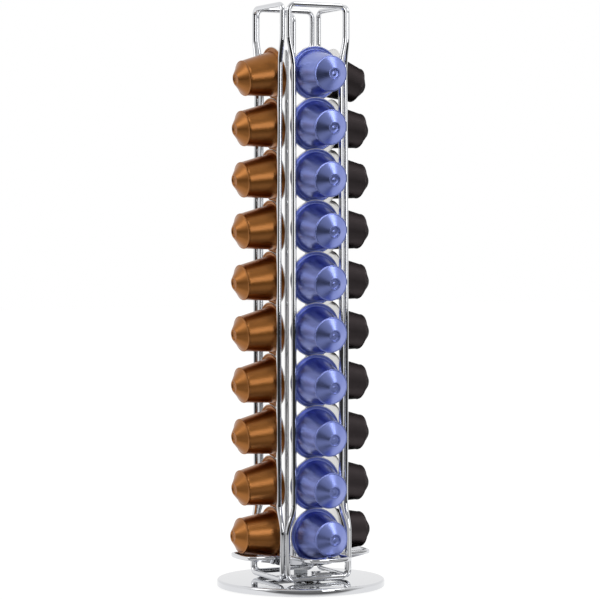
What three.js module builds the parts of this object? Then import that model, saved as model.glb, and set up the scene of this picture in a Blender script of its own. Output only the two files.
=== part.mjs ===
// Revolving tower for single-serve coffee capsules. Four wire rail frames stand on a turntable over a
// weighted chrome base. Three faces hold a column of ten capsules, which feed down onto a tray, and the
// back face is empty.
//
// Millimetres, +Z up. The origin is on the spin axis, on the surface that the base stands on.
// The front face looks along -Y, the right one along +X, the back one along +Y, the left one along -X.
// Every face is modelled in a frame of its own: x outward from the spin axis, y across, z up.

import * as THREE from 'three';

// Clearances
const seatGap = 0.3;            // between pieces that touch or are welded on the real product
const runningGap = 0.3;         // between the screw and what turns or sits on it

// Base
const discRadius = 57;
const discTop = 5.4;            // height of the polished top face
const panWall = 1.0;
const panRimRound = 1.6;
const panGroundGap = 0.6;
const footRingInset = 4.2;
const footRingWidth = 6.5;
const footRingHeight = 1.2;

// Pivot
const screwRadius = 2.5;
const screwHeadRadius = 5.5;
const screwHeadHeight = 1.7;
const screwHeadGroundGap = 0.5;
const washerRadius = 8.4;
const washerHeight = 0.75;
const nutWall = 1.7;            // between the screw's hole and a flat
const nutHeight = 2.4;
const spiderHubRadius = 10.2;
const spiderArmWidth = 8.4;
const spiderThickness = 1.8;

// Capsules
const bodyRootRadius = 15.4;
const flangeWidth = 3.1;
const flangeThickness = 1.3;
const bodyShoulderRadius = 12.1;
const bodyEndRadius = 4.5;
const cupDepth = 23.6;
const coneLength = 5.6;
const nestClearance = 0.8;          // between a cup and the edge of the flange that it rests on
const flangeRailClearance = 0.75;   // between a flange and the rails in front of it
const flangeLeanReach = 6.5;        // how far above its centre a leaning flange meets the rails
const lowestLean = THREE.MathUtils.degToRad(0.75);
const upperLean = THREE.MathUtils.degToRad(7);
const capsulesPerColumn = 10;

// Rail frames
const railWireRadius = 1.75;
const railFlangeOverlap = 2.6;      // how far the narrow rails reach in front of the flanges
const railFlangeRoom = 2.25;        // between a flange and the rails where it is taken out
const railTopTaper = 0.75;          // the frames stand this much closer together at the top
const railTopCornerGap = 1.05;      // between two frames' wires at a top corner
const railBowAcross = 0.2;          // the narrow stretch is this much wider halfway up
const railBowOutward = 0.6;         // and stands this much further out
const railCornerRadius = 4.6;
const railDiscGap = 1.0;
const railHeadroom = 27.4;          // from the highest flange to the centre of the top bar
const narrowEndRise = 2.8;          // above the centre of the highest flange
const topJogLength = 24;
const narrowStartRise = 3.25;       // above the top of the lowest flange
const bottomJogLength = 20.1;

// Guide wires
const guideWireRadius = 1.55;
const guideLidClearance = 1.3;
const guideEndDrop = 1.5;           // from the top of the highest flange to the end behind it
const guideBendRadius = 5.5;
const guideHookSetback = 0.4;       // from the hook's end to the middle of the top bar

// Capsule tray
const trayLobeReach = 48.2;
const trayLobeClearance = 4.1;      // between a lobe and the rails beside it
const trayCornerClearance = 5.65;   // between the round middle and the frames' corners
const trayFloorHeight = 17.65;      // at the foot of the ramps, where the flanges stand
const trayFloorMargin = 0.2;        // of floor behind a flange
const trayRimRise = 1.7;            // above the end of a ramp
const trayRimWidth = 2;
const trayRimRound = 0.65;
const trayRimDepth = 2.9;           // from the rim's top to its level lower edge
const trayPlate = 1.0;
const trayRampAngle = THREE.MathUtils.degToRad(9.5);
const trayWellWall = 2.2;
const trayWellDepth = 0.7;
const trayBossWall = 2.2;
const trayBossMargin = 0.1;

// Mesh fineness
const wireSides = 8;
const cornerSteps = 4;
const jogSteps = 6;
const narrowRailSteps = 10;
const bendSteps = 5;
const discSegments = 56;
const ringSegments = 40;
const smallSegments = 20;
const capsuleSegments = 18;

// Finishes
const chrome = () => new THREE.MeshStandardMaterial({ color: 0xd9dadc, roughness: 0.08, metalness: 1 });
const steel = () => new THREE.MeshStandardMaterial({ color: 0x8a8c8f, roughness: 0.4, metalness: 1 });
const rubber = () => new THREE.MeshStandardMaterial({ color: 0x1c1c1d, roughness: 0.85, metalness: 0 });
const nylon = () => new THREE.MeshStandardMaterial({ color: 0xe9e7df, roughness: 0.5, metalness: 0 });
const lacquer = (color) => new THREE.MeshStandardMaterial({ color, roughness: 0.32, metalness: 0.85 });

const quarterTurn = Math.PI / 2;
const faces = [
  { name: 'front', turn: -quarterTurn, color: 0x5560a8, topLean: THREE.MathUtils.degToRad(4) },
  { name: 'right', turn: 0, color: 0x363133, topLean: THREE.MathUtils.degToRad(17) },
  { name: 'back', turn: quarterTurn },
  { name: 'left', turn: 2 * quarterTurn, color: 0x8a4a1e, topLean: THREE.MathUtils.degToRad(9) },
];
const filledFaces = faces.filter((face) => face.color !== undefined);

// Shapes that several pieces share

function named(name, geometry, material) {
  const mesh = new THREE.Mesh(geometry, material);
  mesh.name = name;
  return mesh;
}

// Turns a profile of [radius, height] points about +Z
function turned(profile, segments) {
  const points = profile.map(([radius, height]) => new THREE.Vector2(radius, height));
  return new THREE.LatheGeometry(points, segments).rotateX(quarterTurn);
}

// A flat ring or round plate of even thickness, closed on itself
function turnedRing(innerRadius, outerRadius, bottom, top, segments) {
  const profile = [
    [innerRadius, bottom],
    [outerRadius, bottom],
    [outerRadius, top],
    [innerRadius, top],
    [innerRadius, bottom],
  ];
  return turned(profile, segments);
}

function roundHole(radius) {
  return new THREE.Path().absarc(0, 0, radius, 0, 2 * Math.PI, true);
}

function extruded(shape, bottom, height, curveSegments) {
  const geometry = new THREE.ExtrudeGeometry(shape, { depth: height, bevelEnabled: false, curveSegments });
  return geometry.translate(0, 0, bottom);
}

// Joins rings of equally many points, each a list of vectors, by quads. Either the last ring meets the
// first one again, or a point at each end closes the skin.
function skin(rings, startPoint, endPoint) {
  const count = rings[0].length;
  const vertices = rings.flat();
  const indices = [];
  const closed = !startPoint;
  const bands = closed ? rings.length : rings.length - 1;
  for (let band = 0; band < bands; band += 1) {
    const here = band * count;
    const there = ((band + 1) % rings.length) * count;
    for (let step = 0; step < count; step += 1) {
      const next = (step + 1) % count;
      indices.push(here + step, here + next, there + step);
      indices.push(here + next, there + next, there + step);
    }
  }
  if (!closed) {
    const start = vertices.push(startPoint) - 1;
    const end = vertices.push(endPoint) - 1;
    const last = (rings.length - 1) * count;
    for (let step = 0; step < count; step += 1) {
      const next = (step + 1) % count;
      indices.push(start, next, step);
      indices.push(end, last + step, last + next);
    }
  }
  const geometry = new THREE.BufferGeometry().setFromPoints(vertices);
  geometry.setIndex(indices);
  geometry.computeVertexNormals();
  return geometry;
}

// A round wire along a route that stays close to the plane square to `side`
function wire(route, radius, side, closed) {
  const last = route.length - 1;
  const rings = route.map((point, index) => {
    const before = route[closed ? (index + last) % route.length : Math.max(index - 1, 0)];
    const after = route[closed ? (index + 1) % route.length : Math.min(index + 1, last)];
    const arriving = point.clone().sub(before).normalize();
    const leaving = after.clone().sub(point).normalize();
    const along = arriving.add(leaving).normalize();
    const outward = side.clone().addScaledVector(along, -side.dot(along)).normalize();
    const across = new THREE.Vector3().crossVectors(along, outward);
    return Array.from({ length: wireSides }, (_, step) => {
      const angle = (2 * Math.PI * step) / wireSides;
      return point.clone()
        .addScaledVector(outward, radius * Math.cos(angle))
        .addScaledVector(across, radius * Math.sin(angle));
    });
  });
  return closed ? skin(rings) : skin(rings, route[0], route[last]);
}

// Places that the column of capsules sets

const flangeRadius = bodyRootRadius + flangeWidth;
const flangeFront = flangeThickness / 2;
const cupTaper = (bodyRootRadius - bodyShoulderRadius) / (cupDepth - flangeFront);
const capsulePitch = (flangeRadius + bodyRootRadius + nestClearance + cupTaper * flangeThickness)
  / (Math.cos(upperLean) + cupTaper * Math.sin(upperLean));
const columnFoot = trayFloorHeight + seatGap + flangeRadius;
const columnHead = columnFoot + (capsulesPerColumn - 1) * capsulePitch;
const narrowTop = columnHead + narrowEndRise;
const topJogTop = narrowTop + topJogLength;
const narrowBottom = columnFoot + flangeRadius + narrowStartRise;
const bottomJogBottom = narrowBottom - bottomJogLength;
const narrowMiddle = (narrowTop + narrowBottom) / 2;
const narrowHalfSpan = (narrowTop - narrowBottom) / 2;
const topBarHeight = columnHead + flangeRadius + railHeadroom;
const bottomBarHeight = discTop + railDiscGap + railWireRadius;

// The wires of adjoining frames touch at the bottom corners and draw apart towards the top
const narrowHalfWidth = flangeRadius - railFlangeOverlap + railWireRadius;
const bottomHalfWidth = flangeRadius + railFlangeRoom + railWireRadius;
const bottomDistance = bottomHalfWidth + (2 * railWireRadius + seatGap) / Math.SQRT2;
const topDistance = bottomDistance - railTopTaper;
const topHalfWidth = topDistance - (2 * railWireRadius + railTopCornerGap) / Math.SQRT2;

// From 0 at the ends of the narrow stretch to 1 halfway up
function bow(height) {
  const share = (height - narrowMiddle) / narrowHalfSpan;
  return Math.max(0, 1 - share * share);
}

// From the spin axis to the centre of a rail's wire
function railDistance(height) {
  const share = (height - bottomBarHeight) / (topBarHeight - bottomBarHeight);
  const straight = THREE.MathUtils.lerp(bottomDistance, topDistance, share);
  return straight + railBowOutward * bow(height);
}

function narrowRailAcross(height) {
  return narrowHalfWidth + railBowAcross * bow(height);
}

// From the spin axis to the middle of a flange that leans on the rails' round wires
function flangeDistance(height, lean) {
  const beside = Math.max(0, narrowRailAcross(height) - flangeRadius);
  const seat = Math.sqrt(Math.max(0, railWireRadius ** 2 - beside ** 2));
  const leanRoom = flangeLeanReach * Math.sin(lean);
  return railDistance(height) - seat - flangeRailClearance - leanRoom - flangeFront;
}

const lowestDistance = flangeDistance(columnFoot, lowestLean);

// Base and pivot

const panRoof = discTop - panWall;
const ballastTop = panRoof - seatGap;
const ballastBottom = footRingHeight + seatGap;
const screwHole = screwRadius + runningGap;
const screwHeadTop = screwHeadGroundGap + screwHeadHeight;
const washerBottom = discTop + seatGap;
const spiderBottom = washerBottom + washerHeight + seatGap;
const spiderTop = spiderBottom + spiderThickness;
const nutBottom = spiderTop + runningGap;

function baseDisc() {
  const profile = [[screwHole, panRoof]];
  profile.push([discRadius - panWall, panRoof]);
  profile.push([discRadius - panWall, panGroundGap]);
  profile.push([discRadius, panGroundGap]);
  const rimSteps = 3;
  for (let step = 0; step <= rimSteps; step += 1) {
    const angle = (quarterTurn * step) / rimSteps;
    const radius = discRadius - panRimRound + panRimRound * Math.cos(angle);
    profile.push([radius, discTop - panRimRound + panRimRound * Math.sin(angle)]);
  }
  profile.push([screwHole, discTop], [screwHole, panRoof]);
  return named('base_disc', turned(profile, discSegments), chrome());
}

function baseBallast() {
  const recessRadius = screwHeadRadius + seatGap;
  const recessTop = screwHeadTop + seatGap;
  const rim = discRadius - panWall - seatGap;
  const profile = [
    [recessRadius, ballastBottom],
    [rim, ballastBottom],
    [rim, ballastTop],
    [screwHole, ballastTop],
    [screwHole, recessTop],
    [recessRadius, recessTop],
    [recessRadius, ballastBottom],
  ];
  return named('base_ballast', turned(profile, ringSegments), steel());
}

function baseFootRing() {
  const outerRadius = discRadius - footRingInset;
  const innerRadius = outerRadius - footRingWidth;
  const geometry = turnedRing(innerRadius, outerRadius, 0, footRingHeight, ringSegments);
  return named('base_foot_ring', geometry, rubber());
}

function pivotScrew() {
  const profile = [
    [0, screwHeadGroundGap],
    [screwHeadRadius, screwHeadGroundGap],
    [screwHeadRadius, screwHeadTop],
    [screwRadius, screwHeadTop],
    [screwRadius, nutBottom + nutHeight],
    [0, nutBottom + nutHeight],
  ];
  return named('pivot_screw', turned(profile, smallSegments), steel());
}

function pivotWasher() {
  const top = washerBottom + washerHeight;
  return named('pivot_washer', turnedRing(screwHole, washerRadius, washerBottom, top, smallSegments), nylon());
}

function lockNut() {
  const flatDistance = screwHole + nutWall;
  const corner = (2 * flatDistance) / Math.sqrt(3);
  const sides = 6;
  const outline = Array.from({ length: sides }, (_, side) => {
    const angle = (2 * Math.PI * side) / sides;
    return new THREE.Vector2(corner * Math.cos(angle), corner * Math.sin(angle));
  });
  const shape = new THREE.Shape(outline);
  shape.holes.push(roundHole(screwHole));
  return named('lock_nut', extruded(shape, nutBottom, nutHeight, smallSegments / 2), steel());
}

// A cross of four flat arms that reach the bottom bars
function turntableSpider() {
  const half = spiderArmWidth / 2;
  const reach = bottomDistance - railWireRadius - seatGap;
  const hubAngle = Math.asin(half / spiderHubRadius);
  const shape = new THREE.Shape();
  faces.forEach((_, arm) => {
    const turn = arm * quarterTurn;
    const corner = (along, across) => [
      along * Math.cos(turn) - across * Math.sin(turn),
      along * Math.sin(turn) + across * Math.cos(turn),
    ];
    const place = arm === 0 ? 'moveTo' : 'lineTo';
    shape[place](...corner(reach, -half));
    shape.lineTo(...corner(reach, half));
    shape.absarc(0, 0, spiderHubRadius, turn + hubAngle, turn + quarterTurn - hubAngle, false);
  });
  shape.closePath();
  shape.holes.push(roundHole(screwHole));
  return named('turntable_spider', extruded(shape, spiderBottom, spiderThickness, smallSegments / 2), chrome());
}

// Rail frames

function easeShare(share) {
  return (1 - Math.cos(Math.PI * share)) / 2;
}

// The +Y half of a frame as [across, height] points, from the top bar down to the bottom bar
function railHalfOutline() {
  const points = [];
  const topCorner = topHalfWidth - railCornerRadius;
  for (let step = 0; step <= cornerSteps; step += 1) {
    const angle = quarterTurn * (1 - step / cornerSteps);
    const height = topBarHeight - railCornerRadius + railCornerRadius * Math.sin(angle);
    points.push([topCorner + railCornerRadius * Math.cos(angle), height]);
  }
  for (let step = 0; step <= jogSteps; step += 1) {
    const share = step / jogSteps;
    const across = THREE.MathUtils.lerp(topHalfWidth, narrowHalfWidth, easeShare(share));
    points.push([across, THREE.MathUtils.lerp(topJogTop, narrowTop, share)]);
  }
  for (let step = 1; step < narrowRailSteps; step += 1) {
    const height = THREE.MathUtils.lerp(narrowTop, narrowBottom, step / narrowRailSteps);
    points.push([narrowRailAcross(height), height]);
  }
  for (let step = 0; step <= jogSteps; step += 1) {
    const share = step / jogSteps;
    const across = THREE.MathUtils.lerp(narrowHalfWidth, bottomHalfWidth, easeShare(share));
    points.push([across, THREE.MathUtils.lerp(narrowBottom, bottomJogBottom, share)]);
  }
  const bottomCorner = bottomHalfWidth - railCornerRadius;
  for (let step = 0; step <= cornerSteps; step += 1) {
    const angle = quarterTurn * (step / cornerSteps);
    const height = bottomBarHeight + railCornerRadius - railCornerRadius * Math.sin(angle);
    points.push([bottomCorner + railCornerRadius * Math.cos(angle), height]);
  }
  return points;
}

function railFrame(face) {
  const half = railHalfOutline();
  const mirrored = half.map(([across, height]) => [-across, height]).reverse();
  const route = [...half, ...mirrored].map(([across, height]) => (
    new THREE.Vector3(railDistance(height), across, height)
  ));
  const geometry = wire(route, railWireRadius, new THREE.Vector3(1, 0, 0), true);
  return named(`rail_frame_${face.name}`, geometry, chrome());
}

// Capsule tray

const trayLobeHalfWidth = bottomHalfWidth - railWireRadius - trayLobeClearance;
const frameCornerDistance = Math.hypot(bottomHalfWidth, bottomDistance);
const trayMiddleRadius = frameCornerDistance - railWireRadius - trayCornerClearance;
const trayWellEdge = lowestDistance - flangeFront - trayFloorMargin;
const trayWellRadius = trayWellEdge - trayWellWall;
const trayWellFloor = trayFloorHeight - trayWellDepth;
const trayBossEdge = trayMiddleRadius - trayRimWidth - trayBossMargin;
const trayBossRadius = trayBossEdge - trayBossWall;

// Height of the ramp that the lobes' floors make
function trayRamp(radius) {
  return trayFloorHeight + (radius - trayWellEdge) * Math.tan(trayRampAngle);
}

// Angles of one eighth of the outline, closer together where it turns
const trayAngleShares = [0, 0.15, 0.29, 0.37, 0.43, 0.49, 0.56, 0.65, 0.76, 0.87];

// Distance of the outline from the axis: round lobe ends, straight lobe sides and a round middle,
// blended into each other
function trayOutlineRadius(angle) {
  const cornerSharpness = 11;
  const filletSharpness = 14;
  const fromLobe = Math.abs(angle - quarterTurn * Math.round(angle / quarterTurn));
  const side = (trayLobeReach / trayLobeHalfWidth) * Math.sin(fromLobe);
  const lobe = trayLobeReach * (1 + side ** cornerSharpness) ** (-1 / cornerSharpness);
  const middle = trayMiddleRadius / lobe;
  return lobe * (1 + middle ** filletSharpness) ** (1 / filletSharpness);
}

function trayOutlinePoint(angle) {
  const radius = trayOutlineRadius(angle);
  return new THREE.Vector2(radius * Math.cos(angle), radius * Math.sin(angle));
}

function trayAngles() {
  const eighths = 2 * faces.length;
  const eighthTurn = (2 * Math.PI) / eighths;
  const angles = [];
  for (let eighth = 0; eighth < eighths; eighth += 1) {
    const rising = eighth % 2 === 0;
    const shares = rising ? trayAngleShares : trayAngleShares.map((share) => 1 - share).reverse();
    shares.forEach((share) => angles.push((eighth + share) * eighthTurn));
  }
  return angles;
}

function capsuleTray() {
  const angles = trayAngles();
  const probeAngle = 0.001;
  // A ring that follows the outline, moved in by `inset`
  const rimRing = (inset, heightAt) => angles.map((angle) => {
    const ahead = trayOutlinePoint(angle + probeAngle).sub(trayOutlinePoint(angle - probeAngle)).normalize();
    const point = trayOutlinePoint(angle).add(new THREE.Vector2(-ahead.y, ahead.x).multiplyScalar(inset));
    return new THREE.Vector3(point.x, point.y, heightAt(point.length()));
  });
  const roundRing = (radius, height) => angles.map((angle) => (
    new THREE.Vector3(radius * Math.cos(angle), radius * Math.sin(angle), height)
  ));
  const between = (inner, outer, share, heightAt) => inner.map((point, index) => {
    const middle = point.clone().lerp(outer[index], share);
    return middle.setZ(heightAt(Math.hypot(middle.x, middle.y)));
  });
  const rimTop = trayRamp(trayLobeReach) + trayRimRise;
  const rimBottom = () => rimTop - trayRimDepth;
  const underside = (radius) => trayRamp(radius) - trayPlate;
  const floorInner = roundRing(trayWellEdge, trayFloorHeight);
  const floorOuter = rimRing(trayRimWidth + trayRimRound, trayRamp);
  const underInner = roundRing(trayBossEdge, underside(trayBossEdge));
  const underOuter = rimRing(trayRimWidth, underside);
  const halfwayShare = 0.5;
  const rings = [
    roundRing(trayBossRadius, trayWellFloor - trayPlate),
    underInner,
    between(underInner, underOuter, halfwayShare, underside),
    underOuter,
    rimRing(trayRimWidth - trayRimRound, rimBottom),
    rimRing(0, rimBottom),
    rimRing(0, () => rimTop - trayRimRound),
    rimRing(trayRimRound, () => rimTop),
    rimRing(trayRimWidth - trayRimRound, () => rimTop),
    rimRing(trayRimWidth, () => rimTop - trayRimRound),
    floorOuter,
    between(floorInner, floorOuter, halfwayShare, trayRamp),
    floorInner,
    roundRing(trayWellRadius, trayWellFloor),
  ];
  const geometry = skin(
    rings,
    new THREE.Vector3(0, 0, trayWellFloor - trayPlate),
    new THREE.Vector3(0, 0, trayWellFloor),
  );
  return named('capsule_tray', geometry, chrome());
}

// Guide wires

// Clear of the lid of the highest capsule that leans most
const steepestLean = Math.max(...filledFaces.map((face) => face.topLean));
const lidDistance = flangeDistance(columnHead, steepestLean) - flangeFront
  - flangeRadius * Math.sin(steepestLean);
const guideDistance = lidDistance - guideLidClearance - guideWireRadius;

// Behind a column it ends behind the highest flange. On the empty face it hooks under the top bar.
function guideWire(face) {
  const route = [new THREE.Vector3(guideDistance, 0, trayWellFloor + seatGap)];
  if (filledFaces.includes(face)) {
    route.push(new THREE.Vector3(guideDistance, 0, columnHead + flangeRadius - guideEndDrop));
  } else {
    route.push(...guideHook());
  }
  const geometry = wire(route, guideWireRadius, new THREE.Vector3(0, 1, 0), false);
  return named(`guide_wire_${face.name}`, geometry, chrome());
}

function guideHook() {
  const hookHeight = topBarHeight - railWireRadius - seatGap - guideWireRadius;
  const hookEnd = topDistance - guideHookSetback;
  const route = [];
  for (let step = 0; step <= bendSteps; step += 1) {
    const angle = (quarterTurn * step) / bendSteps;
    const distance = guideDistance + guideBendRadius * (1 - Math.cos(angle));
    const height = hookHeight - guideBendRadius * (1 - Math.sin(angle));
    route.push(new THREE.Vector3(distance, 0, height));
  }
  route.push(new THREE.Vector3(hookEnd, 0, hookHeight));
  return route;
}

// Capsules

// Flange, tapered cup and cone, turned about the capsule's own axis, which points away from the lid
function capsuleGeometry() {
  const profile = [
    [0, -flangeFront],
    [flangeRadius, -flangeFront],
    [flangeRadius, flangeFront],
    [bodyRootRadius, flangeFront],
    [bodyShoulderRadius, cupDepth],
    [bodyEndRadius, cupDepth + coneLength],
    [0, cupDepth + coneLength],
  ];
  return turned(profile, capsuleSegments);
}

// Centre of the lowest flange, whose front edge stands on the ramp
const lowestHeight = trayRamp(lowestDistance + flangeFront) + seatGap
  + flangeRadius * Math.cos(lowestLean) + flangeFront * Math.sin(lowestLean);

// Height of a flange's centre at which its cup clears the top edge of the flange below, both corners
function nestedHeight(below, distance, lean) {
  const heights = [-flangeFront, flangeFront].map((along) => {
    const cornerDistance = below.distance + along * Math.cos(below.lean) + flangeRadius * Math.sin(below.lean);
    const cornerHeight = below.height - along * Math.sin(below.lean) + flangeRadius * Math.cos(below.lean);
    const ahead = cornerDistance - distance;
    const cupRoom = bodyRootRadius + cupTaper * (flangeFront - ahead * Math.cos(lean));
    const room = nestClearance + cupRoom + ahead * Math.sin(lean);
    return cornerHeight + room / (Math.cos(lean) + cupTaper * Math.sin(lean));
  });
  return Math.max(...heights);
}

// Places of a column's flanges, from the lowest one up
function columnPlaces(topLean) {
  const places = [{ distance: lowestDistance, height: lowestHeight, lean: lowestLean }];
  while (places.length < capsulesPerColumn) {
    const below = places.at(-1);
    const lean = places.length === capsulesPerColumn - 1 ? topLean : upperLean;
    const distance = flangeDistance(below.height + capsulePitch, lean);
    places.push({ distance, height: nestedHeight(below, distance, lean), lean });
  }
  return places;
}

function capsule(face, number, place) {
  const label = String(number).padStart(2, '0');
  const mesh = named(`capsule_${face.name}_${label}`, capsuleGeometry(), lacquer(face.color));
  mesh.position.set(place.distance, 0, place.height);
  mesh.rotation.y = quarterTurn + place.lean;
  return mesh;
}

// Assembly

function faceGroup(face) {
  const group = new THREE.Group();
  group.rotation.z = face.turn;
  group.add(railFrame(face), guideWire(face));
  if (filledFaces.includes(face)) {
    columnPlaces(face.topLean).forEach((place, index) => group.add(capsule(face, index + 1, place)));
  }
  return group;
}

const dispenser = new THREE.Group();
dispenser.add(baseDisc(), baseBallast(), baseFootRing());
dispenser.add(pivotScrew(), pivotWasher(), lockNut());
dispenser.add(turntableSpider(), capsuleTray());
faces.forEach((face) => dispenser.add(faceGroup(face)));

export default dispenser;
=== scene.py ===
"""Dresses the revolving coffee capsule tower and sets up its studio.

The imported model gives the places. Every class below is one sub-assembly and holds its sizes in
millimetres; meshes are written in metres. Each face of the tower is built in a frame of its own, with x
outward from the spin axis, y across and z up, and is then turned to where it looks.
"""

import logging
import math
from dataclasses import dataclass, field
from enum import Enum
from typing import Callable, Sequence

import bpy
from bpy.types import ID, Material, Mesh, Node, NodeSocket, NodeTree, Object
from mathutils import Matrix, Vector


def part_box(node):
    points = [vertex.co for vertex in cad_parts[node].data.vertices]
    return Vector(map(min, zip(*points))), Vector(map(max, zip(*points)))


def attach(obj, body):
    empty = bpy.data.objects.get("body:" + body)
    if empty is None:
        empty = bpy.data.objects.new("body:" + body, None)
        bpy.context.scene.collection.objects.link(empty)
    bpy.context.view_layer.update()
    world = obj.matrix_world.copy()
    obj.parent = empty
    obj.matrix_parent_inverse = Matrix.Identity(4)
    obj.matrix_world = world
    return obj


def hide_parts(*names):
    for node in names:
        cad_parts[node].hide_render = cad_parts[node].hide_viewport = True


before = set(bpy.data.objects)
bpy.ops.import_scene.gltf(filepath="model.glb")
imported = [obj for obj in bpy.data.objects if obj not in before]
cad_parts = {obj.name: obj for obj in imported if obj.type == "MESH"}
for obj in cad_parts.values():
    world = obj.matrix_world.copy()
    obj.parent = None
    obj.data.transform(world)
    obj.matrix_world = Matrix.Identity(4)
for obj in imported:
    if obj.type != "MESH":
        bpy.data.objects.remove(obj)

LOG = logging.getLogger("capsule_tower")
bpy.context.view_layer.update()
MM = 0.001
IMAGE_PIXELS = 600
WHITE = "#FFFFFF"
FILLET_SHARE = 0.49             # of an edge, the most that a fillet at one end takes
AXIS_RADIUS = 1e-6              # a profile's points nearer than this lie on the axis
WIRE_END_ROUND = 0.22           # of a wire's radius, taken off the edge of a cut end


class Face(Enum):
    """The four faces of the tower, each with the way it looks as an angle about +Z."""

    FRONT = -90.0
    RIGHT = 0.0
    BACK = 90.0
    LEFT = 180.0

    @property
    def label(self) -> str:
        """The face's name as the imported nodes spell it."""
        return self.name.lower()

    def turn(self) -> Matrix:
        """The turn from the face's own frame to the tower's."""
        return Matrix.Rotation(math.radians(self.value), 4, "Z")


# Colour and node helpers


def linear(hex_code: str, alpha: float = 1.0) -> tuple[float, float, float, float]:
    """Turns an sRGB hex colour into the linear values that a shader takes.

    Args:
        hex_code: Six hex digits, with or without a leading hash.
        alpha: The fourth value.

    Returns:
        Red, green, blue and alpha.
    """
    digits = hex_code.lstrip("#")
    channels = [int(digits[start:start + 2], 16) / 255 for start in (0, 2, 4)]
    red, green, blue = (
        value / 12.92 if value <= 0.04045 else ((value + 0.055) / 1.055) ** 2.4 for value in channels
    )
    return red, green, blue, alpha


def add_node(
    tree: NodeTree,
    kind: str,
    links: dict | None = None,
    values: dict | None = None,
    **settings: str,
) -> Node:
    """Adds one node with its settings and links.

    Args:
        tree: The node tree that gets the node.
        kind: The node's class name, without the ShaderNode that it starts with.
        links: Input socket name or number to the output socket that feeds it.
        values: Input socket name or number to the value that stays on it.
        **settings: Attributes of the node.

    Returns:
        The new node.
    """
    node = tree.nodes.new(f"ShaderNode{kind}")
    for name, value in settings.items():
        setattr(node, name, value)
    for socket, value in (values or {}).items():
        node.inputs[socket].default_value = value
    for socket, source in (links or {}).items():
        tree.links.new(source, node.inputs[socket])
    return node


def empty_tree(owner: ID) -> NodeTree:
    """Gives a material or a world a node tree with nothing in it."""
    owner.use_nodes = True
    owner.node_tree.nodes.clear()
    return owner.node_tree


def pattern_scale(size_mm: float) -> float:
    """The scale that gives a procedural texture on metre coordinates features of a real size."""
    return 1.0 / (size_mm * MM)


class Surface:
    """A material in the making: its principled shader and the patterns that feed it."""

    def __init__(self, name: str, metallic: float) -> None:
        """Starts the material.

        Args:
            name: The material's name.
            metallic: 1 for metal, 0 for anything else.
        """
        self.material = bpy.data.materials.new(name)
        self.tree = empty_tree(self.material)
        self.shader = add_node(self.tree, "BsdfPrincipled", values={"Metallic": metallic})
        add_node(self.tree, "OutputMaterial", links={"Surface": self.shader.outputs["BSDF"]})
        self.spot = add_node(self.tree, "TexCoord").outputs["Object"]

    def keep(self, socket: str, value: float | tuple[float, ...]) -> None:
        """Gives an input of the shader one value all over."""
        self.shader.inputs[socket].default_value = value

    def feed(self, socket: str, source: NodeSocket) -> None:
        """Links a pattern to an input of the shader."""
        self.tree.links.new(source, self.shader.inputs[socket])

    def noise(self, size_mm: float, octaves: float, harshness: float = 0.5) -> NodeSocket:
        """Adds noise.

        Args:
            size_mm: The real size of its features.
            octaves: How many finer layers it has.
            harshness: How strong the finer layers are.

        Returns:
            The socket that gives the noise.
        """
        node = add_node(
            self.tree, "TexNoise", links={"Vector": self.spot},
            values={"Scale": pattern_scale(size_mm), "Detail": octaves, "Roughness": harshness},
        )
        return node.outputs["Fac"]

    def tint(self, pattern: NodeSocket, shade: str, colour: str) -> None:
        """Lets a pattern blend the base colour from a shade, where it is 0, to the colour."""
        node = add_node(
            self.tree, "Mix", data_type="RGBA", links={"Factor": pattern},
            values={6: linear(shade), 7: linear(colour)},
        )
        self.feed("Base Color", node.outputs[2])

    def dull(self, pattern: NodeSocket, span: tuple[float, float], ends: tuple[float, float]) -> None:
        """Lets a pattern change the roughness.

        Args:
            pattern: The pattern.
            span: The pattern's values between which the roughness changes.
            ends: The roughness at either of them.
        """
        node = add_node(
            self.tree, "MapRange", links={"Value": pattern},
            values={"From Min": span[0], "From Max": span[1], "To Min": ends[0], "To Max": ends[1]},
        )
        self.feed("Roughness", node.outputs["Result"])

    def emboss(self, pattern: NodeSocket, strength: float, depth_mm: float) -> None:
        """Lets a pattern stand up from the surface as fine relief."""
        node = add_node(
            self.tree, "Bump", links={"Height": pattern},
            values={"Strength": strength, "Distance": depth_mm * MM},
        )
        self.feed("Normal", node.outputs["Normal"])


# Finishes


@dataclass(frozen=True)
class PolishedChrome:
    """Decorative chrome over polished steel: bright, faintly cool, with the slight unevenness of plating."""

    name: str = "polished_chrome"
    colour: str = "#DCDDE0"
    roughness: float = 0.04
    haze: float = 0.03          # added where the plating is a little thinner
    haze_size_mm: float = 40.0
    haze_span: tuple[float, float] = (0.45, 0.8)
    ripple_size_mm: float = 12.0
    ripple: float = 0.008
    ripple_depth_mm: float = 1.0

    def build(self) -> Material:
        """Makes the material."""
        surface = Surface(self.name, 1.0)
        surface.keep("Base Color", linear(self.colour))
        smears = surface.noise(self.haze_size_mm, octaves=2.0)
        surface.dull(smears, self.haze_span, (self.roughness, self.roughness + self.haze))
        surface.emboss(surface.noise(self.ripple_size_mm, octaves=1.0), self.ripple, self.ripple_depth_mm)
        return surface.material


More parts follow.
